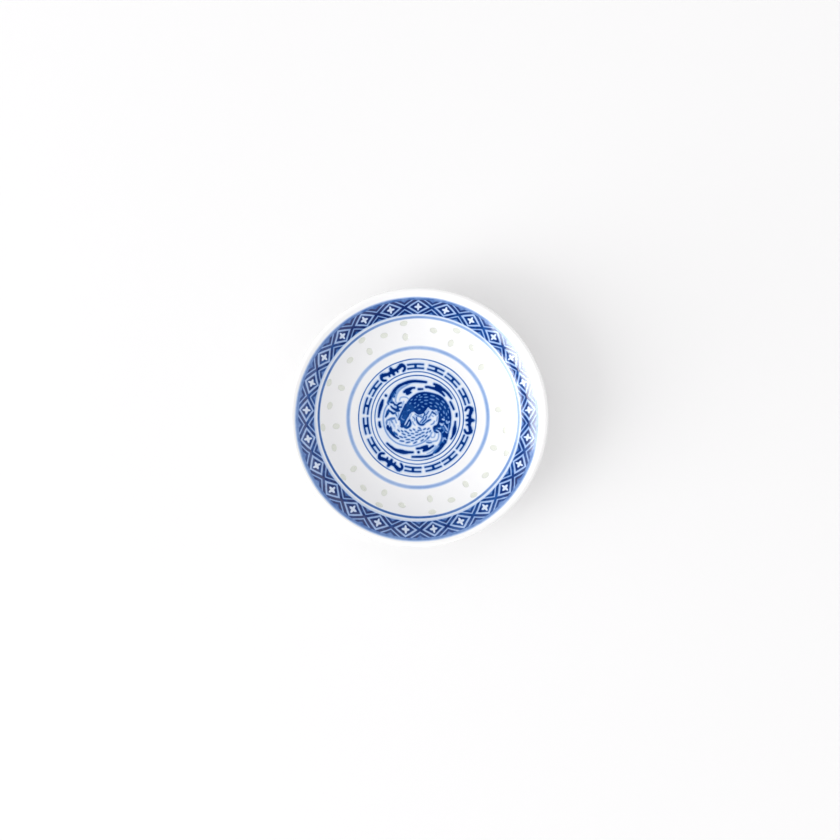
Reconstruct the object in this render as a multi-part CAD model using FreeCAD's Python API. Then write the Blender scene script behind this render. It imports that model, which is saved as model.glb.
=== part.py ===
import FreeCAD, Part
import math
import os

from FreeCAD import Vector

# A small sauce dish of rice-grain porcelain. Sizes are in millimetres, slopes and turns in degrees.
# +Z is up, and the origin is on the table under the dish's centre. The half section lies in the XZ
# plane, where X is the distance from the dish's axis.

# Whole dish
DISH_RADIUS = 50.0
DISH_HEIGHT = 20.0

# Floor and wall: the inside rises from the flat floor in a hollow bowl, then flares to the lip
FLOOR_THICKNESS = 3.0
FLOOR_INSIDE_FOOT = 6.0  # the flat floor ends this far in from the foot ring's outside
WALL_THICKNESS = 2.3
LIP_SLOPE = 28.0  # of the wall at the lip, above level
BOWL_TO_FLARE = 3.0  # tangent length of the bowl's curve, in those of the flare

# The section's curves are drawn in short flats, none more than about 0.05 mm off the true curve
HEEL_SIDES = 3  # from the floor's edge to the first row of grains
UPPER_SIDES = 2  # from the last row of grains to the flare
FLARE_SIDES = 3
LIP_SIDES = 6

# Foot ring
FOOT_RADIUS = 28.0
FOOT_WIDTH = 2.4
RECESS_DEPTH = 2.6  # of the hollow inside the ring, under the floor
FOOT_DRAFT = 10.0  # lean of both sides of the ring, so that it narrows to the table
FOOT_EDGE_BEVEL = 0.45
FOOT_ROOT_BEVEL = 0.9

# Rice grains: holes pierced square through the wall, each filled with clear glaze. Each row has a
# straight flat of its own in the wall's curve.
GRAIN_LENGTH = 2.9
GRAIN_WIDTH = 2.15
GRAIN_SIDES = 4  # straight stretches along each of the outline's two bulging sides
GRAIN_SINK = 0.1  # the glaze dips this far into its hole on both faces of the wall
ROWS = 3
GRAINS_PER_ROW = 12
ROWS_START_SLOPE = 19.1  # of the wall, where the inner row's flat begins
ROW_TURN = 6.4  # the wall turns up by this much from one row's flat to the next
INNER_ROW_START = 7.3  # angle of the row's first grain about the axis, from +X
MIDDLE_ROW_START = 21.0
OUTER_ROW_START = 7.3
PAIR_SHIFT = 1.3  # every second grain stands ahead and the others back by this angle
INNER_GRAIN_TURN = 0.0  # of the long axis, from the line out from the dish's axis
MIDDLE_GRAIN_TURN = 75.0
OUTER_GRAIN_TURN = 90.0

ORIGIN = Vector(0, 0, 0)
ACROSS = Vector(0, 1, 0)
UP = Vector(0, 0, 1)
SQUARE = 90.0
FULL_TURN = 360.0


def along(slope):
    """Unit step in the section that climbs outward at a slope."""
    return Vector(math.cos(math.radians(slope)), 0, math.sin(math.radians(slope)))


def above(slope):
    """Unit step square to along(slope), on its upper side."""
    return along(slope + SQUARE)


class Wall:
    """The wall's two arcs, a hollow bowl and the flare that turns it out to the lip.

    Both faces of the wall share the arcs' centres, so a place on it is a slope and a depth.
    """

    def __init__(self, start, lip, lip_slope):
        span = lip - start
        lean = BOWL_TO_FLARE * span.dot(along(0)) + span.dot(along(lip_slope))
        turn = 2 * BOWL_TO_FLARE * (1 - along(0).dot(along(lip_slope)))
        flare_tangent = (math.sqrt(lean**2 + turn * span.dot(span)) - lean) / turn
        bowl_tangent = flare_tangent * BOWL_TO_FLARE
        steep = lip - along(lip_slope) * flare_tangent - start - along(0) * bowl_tangent
        self.steepest = math.degrees(math.atan2(steep.z, steep.x))
        self.bowl_radius = bowl_tangent / math.tan(math.radians(self.steepest / 2))
        flare_turn = math.radians(self.steepest - lip_slope)
        self.flare_radius = flare_tangent / math.tan(flare_turn / 2)
        self.bowl_centre = start + UP * self.bowl_radius
        self.flare_centre = lip - above(lip_slope) * self.flare_radius

    def bowl(self, slope, depth):
        """Point of the bowl where it has a slope, at a depth under its inside."""
        return self.bowl_centre - above(slope) * (self.bowl_radius + depth)

    def flare(self, slope, depth):
        """Point of the flare where it has a slope, at a depth under its inside."""
        return self.flare_centre + above(slope) * (self.flare_radius - depth)

    def bowl_slope_at(self, radius, depth):
        """Slope of the bowl at a distance from the dish's axis."""
        reach = (radius - self.bowl_centre.x) / (self.bowl_radius + depth)
        return math.degrees(math.asin(reach))


def even_steps(first, last, count):
    """The slopes after the first one, in even steps to the last one."""
    return [first + (last - first) * step / count for step in range(1, count + 1)]


FLOOR_TOP = RECESS_DEPTH + FLOOR_THICKNESS
LIP_ROUND = WALL_THICKNESS / 2
LIP_CENTRE = Vector(DISH_RADIUS - LIP_ROUND, 0, DISH_HEIGHT - LIP_ROUND)
FLOOR_EDGE = Vector(FOOT_RADIUS - FLOOR_INSIDE_FOOT, 0, FLOOR_TOP)
WALL = Wall(FLOOR_EDGE, LIP_CENTRE + above(LIP_SLOPE) * LIP_ROUND, LIP_SLOPE)
HEEL_SLOPES = even_steps(0, ROWS_START_SLOPE, HEEL_SIDES)
ROW_SLOPES = [ROWS_START_SLOPE + ROW_TURN * count for count in range(ROWS + 1)]
UPPER_SLOPES = even_steps(ROW_SLOPES[-1], WALL.steepest, UPPER_SIDES)
FLARE_SLOPES = even_steps(WALL.steepest, LIP_SLOPE, FLARE_SIDES)


class Outline:
    """A closed outline in the section, drawn stretch by stretch."""

    def __init__(self, start):
        self.start = start
        self.reached = start
        self.edges = []

    def line(self, end):
        self.edges.append(Part.LineSegment(self.reached, end).toShape())
        self.reached = end

    def bevel(self, corner, after, size):
        """Run up to a corner and cut it off on the way to the next one."""
        back = (self.reached - corner).normalize()
        ahead = (after - corner).normalize()
        self.line(corner + back * size)
        self.line(corner + ahead * size)

    def face(self):
        self.line(self.start)
        return Part.Face(Part.Wire(self.edges))


def draw_foot(outline):
    """The recess's ceiling and the foot ring, from the axis to the wall's outside."""
    side = along(SQUARE - FOOT_DRAFT)
    outer_foot = Vector(FOOT_RADIUS, 0, 0)
    inner_foot = outer_foot - Vector(FOOT_WIDTH, 0, 0)
    inner_root = inner_foot + Vector(-side.x / side.z, 0, 1) * RECESS_DEPTH
    root_slope = WALL.bowl_slope_at(FOOT_RADIUS + 2 * FOOT_ROOT_BEVEL, WALL_THICKNESS)
    wall_root = WALL.bowl(root_slope, WALL_THICKNESS)
    outer_root = outer_foot + side * ((wall_root.z - FOOT_ROOT_BEVEL) / side.z)
    outline.bevel(inner_root, inner_foot, FOOT_ROOT_BEVEL)
    outline.bevel(inner_foot, outer_foot, FOOT_EDGE_BEVEL)
    outline.bevel(outer_foot, outer_root, FOOT_EDGE_BEVEL)
    outline.line(outer_root)
    outline.line(wall_root)


def draw_outside(outline):
    """The wall's outside, from the foot ring up to the lip."""
    for slope in ROW_SLOPES + UPPER_SLOPES:
        outline.line(WALL.bowl(slope, WALL_THICKNESS))
    for slope in FLARE_SLOPES:
        outline.line(WALL.flare(slope, WALL_THICKNESS))


def draw_lip(outline):
    """The round lip, from the wall's outside over to its inside."""
    for slope in even_steps(LIP_SLOPE - SQUARE, LIP_SLOPE + SQUARE, LIP_SIDES):
        outline.line(LIP_CENTRE + along(slope) * LIP_ROUND)


def draw_inside(outline):
    """The wall's inside, from the lip down to the floor and in to the axis."""
    for slope in FLARE_SLOPES[-2::-1]:
        outline.line(WALL.flare(slope, 0))
    for slope in reversed([0] + HEEL_SLOPES + ROW_SLOPES[1:] + UPPER_SLOPES):
        outline.line(WALL.bowl(slope, 0))
    outline.line(Vector(0, 0, FLOOR_TOP))


def dish_blank():
    """The thrown dish, before its wall is pierced."""
    outline = Outline(Vector(0, 0, RECESS_DEPTH))
    draw_foot(outline)
    draw_outside(outline)
    draw_lip(outline)
    draw_inside(outline)
    return outline.face().revolve(ORIGIN, UP, FULL_TURN)


def grain_outline():
    """Rice grain's outline, long axis along X: two bulging sides that meet at its ends."""
    half_length = GRAIN_LENGTH / 2
    half_width = GRAIN_WIDTH / 2
    bulge_radius = (half_length**2 + half_width**2) / GRAIN_WIDTH
    half_turn = math.atan2(half_length, bulge_radius - half_width)
    corners = []
    for side in (1, -1):
        for step in range(GRAIN_SIDES):
            turn = half_turn * (1 - 2 * step / GRAIN_SIDES)
            bulge = bulge_radius * math.cos(turn) - (bulge_radius - half_width)
            corners.append(Vector(bulge_radius * math.sin(turn), bulge, 0) * side)
    return Part.Face(Part.makePolygon(corners + corners[:1]))


def grain_prism(row, turn, angle, overrun):
    """One rice grain through the middle of its row's flat, past both of the wall's faces."""
    low = ROW_SLOPES[row]
    high = ROW_SLOPES[row + 1]
    inside = (WALL.bowl(low, 0) + WALL.bowl(high, 0)) / 2
    outside = (WALL.bowl(low, WALL_THICKNESS) + WALL.bowl(high, WALL_THICKNESS)) / 2
    depth = inside.distanceToPoint(outside)
    prism = grain_outline().extrude(UP * -(depth + 2 * overrun))
    prism.translate(UP * overrun)
    prism.rotate(ORIGIN, UP, turn)
    prism.rotate(ORIGIN, ACROSS, -(low + high) / 2)
    prism.translate(inside)
    prism.rotate(ORIGIN, UP, angle)
    return prism


def grain_row(row, first_angle, turn):
    """One row's holes, cut well past both faces of the wall, and the glaze that fills them."""
    holes = []
    windows = []
    for count in range(GRAINS_PER_ROW):
        shift = PAIR_SHIFT if count % 2 else -PAIR_SHIFT
        angle = first_angle + count * FULL_TURN / GRAINS_PER_ROW + shift
        holes.append(grain_prism(row, turn, angle, WALL_THICKNESS))
        windows.append(grain_prism(row, turn, angle, -GRAIN_SINK))
    return holes, Part.makeCompound(windows)


def build():
    """Every node's name and shape."""
    inner_holes, inner_windows = grain_row(0, INNER_ROW_START, INNER_GRAIN_TURN)
    middle_holes, middle_windows = grain_row(1, MIDDLE_ROW_START, MIDDLE_GRAIN_TURN)
    outer_holes, outer_windows = grain_row(2, OUTER_ROW_START, OUTER_GRAIN_TURN)
    holes = Part.makeCompound(inner_holes + middle_holes + outer_holes)
    return {
        "porcelain_body": dish_blank().cut(holes),
        "grain_windows_inner": inner_windows,
        "grain_windows_middle": middle_windows,
        "grain_windows_outer": outer_windows,
    }


os.makedirs("parts", exist_ok=True)
for node, shape in build().items():
    shape.exportStep("parts/" + node + ".step")
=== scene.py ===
import math

import bmesh
import bpy
import numpy as np
from bpy.props import FloatProperty, FloatVectorProperty, IntProperty, PointerProperty
from mathutils import Matrix, Vector


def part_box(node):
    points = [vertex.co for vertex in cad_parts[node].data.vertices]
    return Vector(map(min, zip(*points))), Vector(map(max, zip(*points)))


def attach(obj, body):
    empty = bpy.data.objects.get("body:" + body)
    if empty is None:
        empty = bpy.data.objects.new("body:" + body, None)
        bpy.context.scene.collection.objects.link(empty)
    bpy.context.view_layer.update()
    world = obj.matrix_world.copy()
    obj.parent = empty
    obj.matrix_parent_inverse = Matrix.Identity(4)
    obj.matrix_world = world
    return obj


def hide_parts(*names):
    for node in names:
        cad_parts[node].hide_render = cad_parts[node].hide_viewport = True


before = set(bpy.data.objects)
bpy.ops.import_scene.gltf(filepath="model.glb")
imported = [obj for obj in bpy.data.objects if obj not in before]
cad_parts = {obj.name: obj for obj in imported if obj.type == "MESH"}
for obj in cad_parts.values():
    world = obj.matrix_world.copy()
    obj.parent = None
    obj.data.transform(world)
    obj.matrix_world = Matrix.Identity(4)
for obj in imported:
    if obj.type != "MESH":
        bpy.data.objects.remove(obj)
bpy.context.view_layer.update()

bl_info = {
    "name": "Rice-Grain Sauce Dish",
    "version": (1, 0, 0),
    "blender": (4, 5, 0),
    "location": "View3D > Sidebar > Sauce Dish",
    "description": "A blue and white porcelain sauce dish with glaze-filled rice grains",
    "category": "Add Mesh",
}

MM = 0.001
CAD_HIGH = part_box("porcelain_body")[1]
TOLERANCE = 0.001 * MM  # two places this close together are the same place
INSIDE = 0.0  # depth of the wall's inner face under itself
UP = Vector((0, 0, 1))
QUARTER_TURN = math.pi / 2
SHARP_FROM = math.radians(40)  # edges that turn by more than this stay sharp
SHARP_FROM_WINDOWS = math.radians(60)


def length(name, description, default_mm):
    """A size in the sidebar, kept in metres."""
    return FloatProperty(
        name=name, description=description, default=default_mm * MM, unit="LENGTH", precision=5
    )


def turn(name, description, degrees):
    """An angle in the sidebar."""
    return FloatProperty(
        name=name, description=description, default=math.radians(degrees), unit="ROTATION"
    )


def colour(name, description, red, green, blue):
    """A colour in the sidebar, given as it shows on a screen, in steps of 0 to 255."""
    return FloatVectorProperty(
        name=name,
        description=description,
        default=[screen_to_linear(value / 255) for value in (red, green, blue)],
        subtype="COLOR",
        size=3,
        min=0,
        max=1,
    )


def screen_to_linear(value):
    """A screen's value as the light that it stands for."""
    if value <= 0.04045:
        return value / 12.92
    return ((value + 0.055) / 1.055) ** 2.4


# ---------------------------------------------------------------- sizes and colours


class BodySizes(bpy.types.PropertyGroup):
    """The fired body's section and how finely it is drawn."""

    radius: FloatProperty(
        name="Rim radius",
        description="From the dish's axis to the outside of the lip",
        default=CAD_HIGH.x,
        unit="LENGTH",
    )
    height: FloatProperty(
        name="Height",
        description="From the table to the top of the lip",
        default=CAD_HIGH.z,
        unit="LENGTH",
    )
    floor_top: length("Floor top", "Height of the well's flat floor", 5.6)
    floor_radius: length("Floor radius", "Where the flat floor ends", 22.0)
    wall: length("Wall", "Thickness of the wall and the lip", 2.3)
    lip_slope: turn("Lip slope", "Slope of the wall at the lip, above level", 28.0)
    bowl_to_flare: FloatProperty(
        name="Bowl to flare",
        description="Tangent length of the bowl's curve, in those of the flare",
        default=3.0,
    )
    foot_radius: length("Foot radius", "Outside of the foot ring at the table", 28.0)
    foot_width: length("Foot width", "Width of the foot ring at the table", 2.4)
    recess: length("Recess depth", "Depth of the hollow inside the foot ring", 2.6)
    foot_draft: turn("Foot draft", "Lean of the foot ring's sides", 10.0)
    foot_edge: length("Foot edge", "Size of the round on the foot ring's edges", 0.45)
    foot_root: length("Foot root", "Size of the round where the ring meets the dish", 0.9)
    steps_round: IntProperty(
        name="Steps round", description="Steps of the body around its axis", default=252
    )
    painted_step: length("Painted step", "Row spacing of the mesh under the painting", 0.22)


class GrainSizes(bpy.types.PropertyGroup):
    """The pierced rice grains and the glaze that fills them."""

    length: length("Length", "Long way of a grain", 2.95)
    width: length("Width", "Short way of a grain", 2.15)
    rim: length("Rim", "How far the glaze rounds off the hole's rim", 0.11)
    dip: length("Dip", "Depth of the glaze's dip in the middle of a grain", 0.08)
    rows_start: turn("Rows start", "Wall's slope where the inner row begins", 19.1)
    row_turn: turn("Row turn", "Turn of the wall from one row to the next", 6.4)
    inner_start: turn("Inner start", "Angle of the inner row's first grain", 7.3)
    middle_start: turn("Middle start", "Angle of the middle row's first grain", 21.0)
    outer_start: turn("Outer start", "Angle of the outer row's first grain", 7.3)
    inner_turn: turn("Inner turn", "Turn of the inner row's grains", 0.0)
    middle_turn: turn("Middle turn", "Turn of the middle row's grains", 75.0)
    outer_turn: turn("Outer turn", "Turn of the outer row's grains", 90.0)
    pair_shift: turn("Pair shift", "How far alternate grains stand ahead or back", 1.3)
    per_row: IntProperty(name="Per row", description="Grains in a row", default=12)


class Colours(bpy.types.PropertyGroup):
    """Colours of the glaze, the clay and the cobalt."""

    glaze: colour("Glaze", "White porcelain under clear glaze", 244, 244, 244)
    biscuit: colour("Biscuit", "Unglazed clay of the foot", 226, 218, 204)
    grain: colour("Grain", "Clear glaze in a grain", 240, 243, 233)
    wash: colour("Cobalt wash", "Thinnest cobalt", 190, 208, 236)
    pale: colour("Pale cobalt", "Thin cobalt", 132, 164, 214)
    mid: colour("Mid cobalt", "Cobalt of medium strength", 34, 92, 166)
    deep: colour("Deep cobalt", "Thick cobalt", 0, 38, 114)
    darkest: colour("Darkest cobalt", "Thickest cobalt, in the border's dark lines", 0, 30, 84)
    speck: colour("Speck", "Rare dark specks in the glaze", 137, 115, 89)
    table: colour("Table", "The floor that the dish stands on", 241, 241, 241)


class PaintSizes(bpy.types.PropertyGroup):
    """Where the painted rings and bands lie, from the dish's axis."""

    broad_ring: length("Broad ring", "Radius of the broad pale ring", 27.45)
    broad_width: length("Broad width", "Width of the broad pale ring", 1.2)
    line_ring: length("Line ring", "Radius of the line inside the border", 39.0)
    line_width: length("Line width", "Width of the line inside the border", 0.85)
    banding_off_x: length("Banding off X", "Both rings' centre stands off along X", 0.28)
    banding_off_y: length("Banding off Y", "Both rings' centre stands off along Y", 0.12)
    border_inner: length("Border inside", "Inner edge of the border", 40.45)
    border_outer: length("Border outside", "Outer edge of the border", 46.75)
    border_off_x: length("Border off X", "Border's outer edge stands off this far along X", -0.6)
    border_off_y: length("Border off Y", "Border's outer edge stands off this far along Y", -0.7)
    lozenges: IntProperty(name="Lozenges", description="Lozenges in the border", default=25)
    border_start: turn("Border start", "Angle of a lozenge's middle", 3.9)
    roundel_outer: length("Roundel outside", "Outer thin ring of the roundel", 18.15)
    roundel_inner: length("Roundel inside", "Inner thin ring of the roundel", 16.7)
    figure_ring: length("Figure ring", "Thin ring round the band of figures", 23.12)
    thin_width: length("Thin width", "Width of the thin rings", 0.46)


class StageSettings(bpy.types.PropertyGroup):
    """Camera and light."""

    lens: FloatProperty(name="Lens", description="Focal length", default=85.0, unit="CAMERA")
    sensor: FloatProperty(name="Sensor", description="Sensor width", default=36.0, unit="CAMERA")
    rim_distance: length("Distance", "From the camera to the rim's plane", 762.8)
    lean_left: turn("Lean left", "How far the camera stands left of straight above", 3.0)
    lean_near: turn("Lean near", "How far the camera stands on the near side", 1.5)
    aim_x: length("Aim X", "Where the view's middle meets the rim's plane, along X", 0.25)
    aim_y: length("Aim Y", "Where the view's middle meets the rim's plane, along Y", -1.2)
    key_power: FloatProperty(name="Key", description="Power of the key light", default=41.0)
    key_azimuth: turn("Key azimuth", "Where the key light stands about the dish", 204.0)
    key_elevation: turn("Key elevation", "Height of the key light above level", 19.5)
    sky: FloatProperty(name="Sky", description="Strength of the light all round", default=1.0)
    window: FloatProperty(
        name="Window", description="How much brighter the light is from the key's side", default=3.0
    )
    window_azimuth: turn("Window azimuth", "Where the room is brightest about the dish", 187.0)
    sheen: FloatProperty(name="Sheen", description="Power of the glare on the glaze", default=48.0)
    sheen_azimuth: turn("Sheen azimuth", "Where the glare's light stands about the dish", 198.0)
    sheen_elevation: turn("Sheen elevation", "Height of the glare's light above level", 25.0)


GROUPS = {
    "dish_body": BodySizes,
    "dish_grains": GrainSizes,
    "dish_colours": Colours,
    "dish_paint": PaintSizes,
    "dish_stage": StageSettings,
}


# ---------------------------------------------------------------- the body's section


def along(slope):
    """Unit step in the section that climbs outward at a slope."""
    return Vector((math.cos(slope), 0, math.sin(slope)))


def above(slope):
    """Unit step square to along(slope), on its upper side."""
    return Vector((-math.sin(slope), 0, math.cos(slope)))


class Wall:
    """The wall's hollow bowl and the flare that turns it out to the lip.

    Both faces share the arcs' centres, so a place on the wall is a slope and a depth.
    """

    def __init__(self, body):
        self.lip_slope = body.lip_slope
        self.lip_round = body.wall / 2
        self.lip_centre = Vector((body.radius - self.lip_round, 0, body.height - self.lip_round))
        self.floor_edge = Vector((body.floor_radius, 0, body.floor_top))
        lip = self.lip_centre + above(body.lip_slope) * self.lip_round
        span = lip - self.floor_edge
        share = body.bowl_to_flare
        lean = share * span.dot(along(0)) + span.dot(along(body.lip_slope))
        bend = 2 * share * (1 - along(0).dot(along(body.lip_slope)))
        flare_tangent = (math.sqrt(lean**2 + bend * span.dot(span)) - lean) / bend
        bowl_tangent = flare_tangent * share
        steep = lip - along(body.lip_slope) * flare_tangent
        steep -= self.floor_edge + along(0) * bowl_tangent
        self.steepest = math.atan2(steep.z, steep.x)
        self.bowl_radius = bowl_tangent / math.tan(self.steepest / 2)
        self.flare_radius = flare_tangent / math.tan((self.steepest - body.lip_slope) / 2)
        self.bowl_centre = self.floor_edge + UP * self.bowl_radius
        self.flare_centre = lip - above(body.lip_slope) * self.flare_radius

    def bowl(self, slope, depth):
        """Point of the bowl where it has a slope, at a depth under its inside."""
        return self.bowl_centre - above(slope) * (self.bowl_radius + depth)

    def flare(self, slope, depth):
        """Point of the flare where it has a slope, at a depth under its inside."""
        return self.flare_centre + above(slope) * (self.flare_radius - depth)

    def lip(self, bearing, depth):
        """Point of the round lip at a bearing from its centre, at a depth under its surface."""
        return self.lip_centre + along(bearing) * (self.lip_round - depth)

    def bowl_slope_at(self, radius, depth):
        """Slope of the bowl at a distance from the dish's axis."""
        return math.asin((radius - self.bowl_centre.x) / (self.bowl_radius + depth))


class Section:
    """The body's half section, drawn point by point in the XZ plane."""

    BOWL_STEPS = 36
    FLARE_STEPS = 12
    LIP_STEPS = 14
    OUTER_FLARE_STEPS = 8
    OUTER_BOWL_STEPS = 18
    ROUND_STEPS = 5
    CEILING_STEPS = 6

    def __init__(self, start):
        self.points = [start]

    def line(self, end, steps=1):
        """Run straight to a point."""
        start = self.points[-1]
        self.points += [start.lerp(end, step / steps) for step in range(1, steps + 1)]

    def curve(self, place, depth, first, last, steps):
        """Follow place(slope, depth) from after the first slope to the last."""
        for step in range(1, steps + 1):
            self.points.append(place(first + (last - first) * step / steps, depth))

    def corner(self, corner, after, size):
        """Run up to a corner and round it off on the way to the next point."""
        start = corner + (self.points[-1] - corner).normalized() * size
        end = corner + (after - corner).normalized() * size
        self.points.append(start)
        for step in range(1, self.ROUND_STEPS + 1):
            t = step / self.ROUND_STEPS
            self.points.append(start.lerp(corner, t).lerp(corner.lerp(end, t), t))


def body_section(body, wall):
    """From the floor's middle up the inside, over the lip and down to the recess's middle."""
    steep, lip = wall.steepest, wall.lip_slope
    foot_slope = wall.bowl_slope_at(body.foot_radius + 2 * body.foot_root, body.wall)
    section = Section(Vector((0, 0, body.floor_top)))
    section.line(wall.floor_edge, round(body.floor_radius / body.painted_step))
    section.curve(wall.bowl, INSIDE, 0, steep, Section.BOWL_STEPS)
    section.curve(wall.flare, INSIDE, steep, lip, Section.FLARE_STEPS)
    section.curve(wall.lip, INSIDE, lip + QUARTER_TURN, lip - QUARTER_TURN, Section.LIP_STEPS)
    section.curve(wall.flare, body.wall, lip, steep, Section.OUTER_FLARE_STEPS)
    section.curve(wall.bowl, body.wall, steep, foot_slope, Section.OUTER_BOWL_STEPS)
    draw_foot(section, body)
    return section.points


def draw_foot(section, body):
    """The foot ring and the recess's ceiling, from the wall's outside in to the axis."""
    side = along(QUARTER_TURN - body.foot_draft)
    outer_foot = Vector((body.foot_radius, 0, 0))
    inner_foot = outer_foot - Vector((body.foot_width, 0, 0))
    inner_root = inner_foot + Vector((-side.x / side.z, 0, 1)) * body.recess
    outer_root = outer_foot + side * ((section.points[-1].z - body.foot_root / 2) / side.z)
    ceiling = Vector((0, 0, body.recess))
    section.corner(outer_root, outer_foot, body.foot_root)
    section.corner(outer_foot, inner_foot, body.foot_edge)
    section.corner(inner_foot, inner_root, body.foot_edge)
    section.corner(inner_root, ceiling, body.foot_root)
    section.line(ceiling, Section.CEILING_STEPS)


def spin_section(bm, points, steps):
    """Turn a half section about the dish's axis into a closed body."""
    verts = [bm.verts.new(point) for point in points]
    edges = [bm.edges.new(pair) for pair in zip(verts, verts[1:])]
    bmesh.ops.spin(
        bm, geom=verts + edges, axis=UP, cent=(0, 0, 0), angle=math.tau, steps=steps, use_merge=True
    )
    bmesh.ops.remove_doubles(bm, verts=bm.verts, dist=TOLERANCE / 10)
    bmesh.ops.recalc_face_normals(bm, faces=bm.faces)


# Rings of the floor cut finer for the brushwork: inner and outer radius, and cuts in each edge
FINE_RINGS = ((3.2 * MM, 12.0 * MM, 1), (12.0 * MM, 23.6 * MM, 2))


def refine_painted_floor(bm, body):
    """Cut the floor finer around the axis, where the brushwork needs more points."""
    for inner, outer, cuts in FINE_RINGS:
        chosen = [edge for edge in bm.edges if runs_round_floor(edge, body, inner, outer)]
        bmesh.ops.subdivide_edges(bm, edges=chosen, cuts=cuts, use_grid_fill=True)


def runs_round_floor(edge, body, inner, outer):
    """Whether an edge on the dish's inside runs level round the axis, between two radii."""
    start, end = (vert.co for vert in edge.verts)
    reach = math.hypot(start.x, start.y)
    level = abs(reach - math.hypot(end.x, end.y)) < TOLERANCE and abs(start.z - end.z) < TOLERANCE
    return level and min(start.z, end.z) >= body.floor_top - TOLERANCE and inner < reach < outer


# ---------------------------------------------------------------- the grains


def grain_places(grains, wall):
    """For each row, the places of its grains: their top face lies on the wall's inside."""
    rows = []
    starts = (grains.inner_start, grains.middle_start, grains.outer_start)
    turns = (grains.inner_turn, grains.middle_turn, grains.outer_turn)
    for row, (start, lie) in enumerate(zip(starts, turns)):
        slope = grains.rows_start + (row + 0.5) * grains.row_turn
        seat = (
            Matrix.Translation(wall.bowl(slope, INSIDE))
            @ Matrix.Rotation(-slope, 4, "Y")
            @ Matrix.Rotation(lie, 4, "Z")
        )
        places = []
        for count in range(grains.per_row):
            shift = grains.pair_shift if count % 2 else -grains.pair_shift
            angle = start + count * math.tau / grains.per_row + shift
            places.append(Matrix.Rotation(angle, 4, "Z") @ seat)
        rows.append(places)
    return rows


PLUG_SIDES = 28
HOLE_OVERRUN = 0.6 * MM  # the cutter runs this far past the wall's faces
HOLE_OVERRUN_GROWTH = 2.2  # and is wider there by this many rims
WINDOW_CLEARANCE = 0.005 * MM  # between a window and its hole

# The round of a hole's rim: depth under the wall's face and growth of the outline, both in rims
HOLE_RIM = ((0, 1), (0.3, 0.5), (1, 0.1), (2, 0))

# A window's hollow face: depth in dips, further depth in rims, and share of the outline
WINDOW_FACE = ((1, 0.3, 0.2), (0.9, 0.3, 0.55), (0.5, 0.3, 0.85), (0, 0.5, 1))


def add_grain_plug(bm, grains, rings, place):
    """One oval plug through rings of (height, share of the outline, grown by), capped at its ends."""
    reached = []
    for count, (height, share, grown) in enumerate(rings):
        across = (grains.length / 2 + grown) * share
        over = (grains.width / 2 + grown) * share
        oval = place @ Matrix.Translation((0, 0, height)) @ Matrix.Diagonal((across, over, 1, 1))
        ring = bmesh.ops.create_circle(
            bm, cap_ends=count in (0, len(rings) - 1), segments=PLUG_SIDES, radius=1, matrix=oval
        )
        edges = list({edge for vert in ring["verts"] for edge in vert.link_edges})
        if reached:
            bmesh.ops.bridge_loops(bm, edges=reached + edges)
        reached = edges


def grain_plugs(grains, places, rings):
    """A plug at each of the places, drawn together."""
    bm = bmesh.new()
    for place in places:
        add_grain_plug(bm, grains, rings, place)
    bmesh.ops.recalc_face_normals(bm, faces=bm.faces)
    return bm


def hole_rings(body, grains):
    """The cutter for one hole, which rounds off the rim on both faces of the wall."""
    face = [(HOLE_OVERRUN, 1, HOLE_OVERRUN_GROWTH * grains.rim)]
    face += [(-depth * grains.rim, 1, growth * grains.rim) for depth, growth in HOLE_RIM]
    return on_both_faces(face, body)


def window_rings(body, grains):
    """One window of glaze, hollow on both faces."""
    face = [
        (-dips * grains.dip - rims * grains.rim, share, -WINDOW_CLEARANCE)
        for dips, rims, share in WINDOW_FACE
    ]
    return on_both_faces(face, body)


def on_both_faces(face, body):
    """A plug's rings at the wall's inner face, followed by the same ones at its outer face."""
    return face + [(-body.wall - height, share, grown) for height, share, grown in reversed(face)]


def finish_mesh(name, bm, material, sharp_from=SHARP_FROM):
    """Turn a bmesh into a shaded object."""
    mesh = bpy.data.meshes.new(name)
    bm.to_mesh(mesh)
    bm.free()
    piece = bpy.data.objects.new(name, mesh)
    bpy.context.scene.collection.objects.link(piece)
    shade_smooth(mesh, sharp_from)
    mesh.materials.append(material)
    return piece


def shade_smooth(mesh, sharp_from=SHARP_FROM):
    """Smooth shading with sharp edges kept."""
    mesh.shade_smooth()
    mesh.set_sharp_from_angle(angle=sharp_from)


def check_closed(mesh):
    """Stop the build if a piece came out empty or open."""
    bm = bmesh.new()
    bm.from_mesh(mesh)
    closed = bool(bm.faces) and all(edge.is_manifold for edge in bm.edges)
    bm.free()
    if not closed:
        raise RuntimeError(mesh.name + " came out empty or open")


def pierce(piece, cutter):
    """Cut the grain holes through the body and drop the cutter."""
    cut = piece.modifiers.new("grain_holes", "BOOLEAN")
    cut.operation = "DIFFERENCE"
    cut.solver = "EXACT"
    cut.object = cutter
    depsgraph = bpy.context.evaluated_depsgraph_get()
    pierced = bpy.data.meshes.new_from_object(piece.evaluated_get(depsgraph))
    pierced.name = piece.name
    piece.modifiers.clear()
    piece.data = pierced
    bpy.data.objects.remove(cutter)


# ---------------------------------------------------------------- the brushwork


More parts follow.
